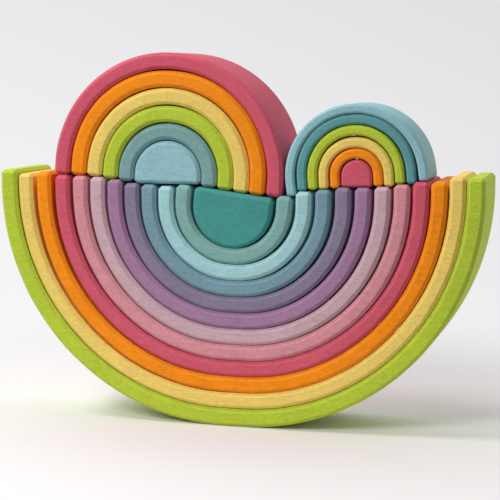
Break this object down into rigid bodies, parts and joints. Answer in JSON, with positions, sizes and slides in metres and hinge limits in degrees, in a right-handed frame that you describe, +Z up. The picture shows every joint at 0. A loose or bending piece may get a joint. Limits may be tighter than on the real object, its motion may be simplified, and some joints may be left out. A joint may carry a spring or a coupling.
{
  "type": "rainbow stacker",
  "caption": "Rainbow stacker of stained wooden arches in nesting sets: the large set lies on its back as a rocker and smaller sets stand upright on its ends.",
  "frame": {"origin": "on the floor, under the middle of the flat crown of the outermost large arch", "axes": "+X to the right seen from the front, -Y towards the front, +Z up"},
  "size_m": [0.37, 0.07, 0.2782],
  "materials": {
    "lime_stain": "matte lime wood stain, fine grain showing through",
    "yellow_stain": "matte yellow wood stain, fine grain showing through",
    "orange_stain": "matte orange wood stain, fine grain showing through",
    "raspberry_stain": "matte raspberry wood stain, fine grain showing through",
    "pink_stain": "matte pink wood stain, fine grain showing through",
    "lilac_stain": "matte lilac wood stain, fine grain showing through",
    "mauve_stain": "matte mauve wood stain, fine grain showing through",
    "violet_stain": "matte violet wood stain, fine grain showing through",
    "slate_stain": "matte slate wood stain, fine grain showing through",
    "mint_stain": "matte mint wood stain, fine grain showing through",
    "sage_stain": "matte sage wood stain, fine grain showing through",
    "teal_stain": "matte teal wood stain, fine grain showing through",
    "grey_teal_stain": "matte grey teal wood stain, fine grain showing through",
    "pale_blue_stain": "matte pale blue wood stain, fine grain showing through",
    "sky_blue_stain": "matte sky blue wood stain, fine grain showing through",
    "petrol_stain": "matte petrol wood stain, fine grain showing through"
  },
  "bodies": {
    "large_lime_arch": {"large_lime_arch": "lime_stain"},
    "large_yellow_arch": {"large_yellow_arch": "yellow_stain"},
    "large_orange_arch": {"large_orange_arch": "orange_stain"},
    "large_raspberry_arch": {"large_raspberry_arch": "raspberry_stain"},
    "large_pink_arch": {"large_pink_arch": "pink_stain"},
    "large_lilac_arch": {"large_lilac_arch": "lilac_stain"},
    "large_mauve_arch": {"large_mauve_arch": "mauve_stain"},
    "large_violet_arch": {"large_violet_arch": "violet_stain"},
    "large_slate_arch": {"large_slate_arch": "slate_stain"},
    "large_mint_arch": {"large_mint_arch": "mint_stain"},
    "large_sage_arch": {"large_sage_arch": "sage_stain"},
    "large_teal_half_disc": {"large_teal_half_disc": "teal_stain"},
    "medium_raspberry_arch": {"medium_raspberry_arch": "raspberry_stain"},
    "medium_orange_arch": {"medium_orange_arch": "orange_stain"},
    "medium_yellow_arch": {"medium_yellow_arch": "yellow_stain"},
    "medium_lime_arch": {"medium_lime_arch": "lime_stain"},
    "medium_grey_arch": {"medium_grey_arch": "grey_teal_stain"},
    "medium_blue_half_disc": {"medium_blue_half_disc": "pale_blue_stain"},
    "small_blue_arch": {"small_blue_arch": "sky_blue_stain"},
    "small_petrol_arch": {"small_petrol_arch": "petrol_stain"},
    "small_lime_arch": {"small_lime_arch": "lime_stain"},
    "small_yellow_arch": {"small_yellow_arch": "yellow_stain"},
    "small_orange_arch": {"small_orange_arch": "orange_stain"},
    "small_raspberry_half_disc": {"small_raspberry_half_disc": "raspberry_stain"}
  },
  "joints": [
    {"name": "large_yellow_slide", "type": "slide", "parent": "large_lime_arch", "child": "large_yellow_arch", "axis": [0, -1, 0], "range_m": [-0.025, 0.025]},
    {"name": "large_orange_slide", "type": "slide", "parent": "large_yellow_arch", "child": "large_orange_arch", "axis": [0, -1, 0], "range_m": [-0.025, 0.025]},
    {"name": "large_raspberry_slide", "type": "slide", "parent": "large_orange_arch", "child": "large_raspberry_arch", "axis": [0, -1, 0], "range_m": [-0.025, 0.025]},
    {"name": "large_pink_slide", "type": "slide", "parent": "large_raspberry_arch", "child": "large_pink_arch", "axis": [0, -1, 0], "range_m": [-0.025, 0.025]},
    {"name": "large_lilac_slide", "type": "slide", "parent": "large_pink_arch", "child": "large_lilac_arch", "axis": [0, -1, 0], "range_m": [-0.025, 0.025]},
    {"name": "large_mauve_slide", "type": "slide", "parent": "large_lilac_arch", "child": "large_mauve_arch", "axis": [0, -1, 0], "range_m": [-0.025, 0.025]},
    {"name": "large_violet_slide", "type": "slide", "parent": "large_mauve_arch", "child": "large_violet_arch", "axis": [0, -1, 0], "range_m": [-0.025, 0.025]},
    {"name": "large_slate_slide", "type": "slide", "parent": "large_violet_arch", "child": "large_slate_arch", "axis": [0, -1, 0], "range_m": [-0.025, 0.025]},
    {"name": "large_mint_slide", "type": "slide", "parent": "large_slate_arch", "child": "large_mint_arch", "axis": [0, -1, 0], "range_m": [-0.025, 0.025]},
    {"name": "large_sage_slide", "type": "slide", "parent": "large_mint_arch", "child": "large_sage_arch", "axis": [0, -1, 0], "range_m": [-0.025, 0.025]},
    {"name": "large_teal_slide", "type": "slide", "parent": "large_sage_arch", "child": "large_teal_half_disc", "axis": [0, -1, 0], "range_m": [-0.025, 0.025]},
    {"name": "medium_raspberry_lift", "type": "slide", "parent": "large_raspberry_arch", "child": "medium_raspberry_arch", "axis": [0, 0, 1], "range_m": [0, 0.05]},
    {"name": "medium_orange_slide", "type": "slide", "parent": "large_pink_arch", "child": "medium_orange_arch", "axis": [0, -1, 0], "range_m": [-0.025, 0.025]},
    {"name": "medium_yellow_slide", "type": "slide", "parent": "large_lilac_arch", "child": "medium_yellow_arch", "axis": [0, -1, 0], "range_m": [-0.025, 0.025]},
    {"name": "medium_lime_slide", "type": "slide", "parent": "large_mauve_arch", "child": "medium_lime_arch", "axis": [0, -1, 0], "range_m": [-0.025, 0.025]},
    {"name": "medium_grey_slide", "type": "slide", "parent": "large_violet_arch", "child": "medium_grey_arch", "axis": [0, -1, 0], "range_m": [-0.025, 0.025]},
    {"name": "medium_blue_slide", "type": "slide", "parent": "large_slate_arch", "child": "medium_blue_half_disc", "axis": [0, -1, 0], "range_m": [-0.025, 0.025]},
    {"name": "small_blue_lift", "type": "slide", "parent": "large_raspberry_arch", "child": "small_blue_arch", "axis": [0, 0, 1], "range_m": [0, 0.04]},
    {"name": "small_petrol_slide", "type": "slide", "parent": "large_raspberry_arch", "child": "small_petrol_arch", "axis": [0, -1, 0], "range_m": [-0.018, 0.018]},
    {"name": "small_lime_slide", "type": "slide", "parent": "large_pink_arch", "child": "small_lime_arch", "axis": [0, -1, 0], "range_m": [-0.018, 0.018]},
    {"name": "small_yellow_slide", "type": "slide", "parent": "large_lilac_arch", "child": "small_yellow_arch", "axis": [0, -1, 0], "range_m": [-0.018, 0.018]},
    {"name": "small_orange_slide", "type": "slide", "parent": "large_lilac_arch", "child": "small_orange_arch", "axis": [0, -1, 0], "range_m": [-0.018, 0.018]},
    {"name": "small_raspberry_slide", "type": "slide", "parent": "large_mauve_arch", "child": "small_raspberry_half_disc", "axis": [0, -1, 0], "range_m": [-0.018, 0.018]}
  ]
}
